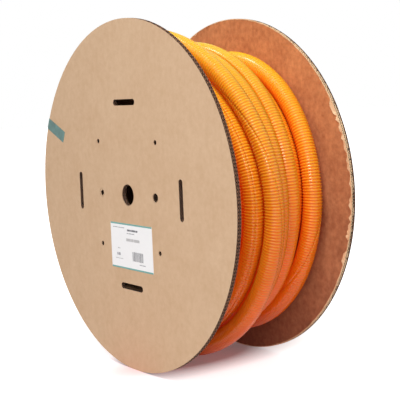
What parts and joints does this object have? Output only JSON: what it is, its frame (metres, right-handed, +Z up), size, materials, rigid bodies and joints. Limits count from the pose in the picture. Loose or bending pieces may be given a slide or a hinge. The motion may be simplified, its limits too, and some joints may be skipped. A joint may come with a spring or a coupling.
{
  "type": "reel of corrugated conduit",
  "caption": "Slit corrugated loom conduit wound in layers on a cardboard reel with round fluted-board flanges and an arbor hole.",
  "frame": {"origin": "on the floor under the middle of the reel, midway between the flanges", "axes": "+X along the reel's axis from the labelled flange to the plain one, +Z up, +Y across the flanges"},
  "size_m": [0.2864, 0.71, 0.71],
  "materials": {
    "board": "brown kraft liner, matt, mottled",
    "drum_board": "brown wound paperboard, matt",
    "conduit": "orange polyethylene, satin",
    "label_paper": "white label paper, matt",
    "tape": "teal packing tape, satin"
  },
  "bodies": {
    "root": {"flange_near": "board", "flange_far": "board", "drum": "drum_board", "conduit": "conduit", "label": "label_paper", "tape": "tape"}
  },
  "joints": []
}
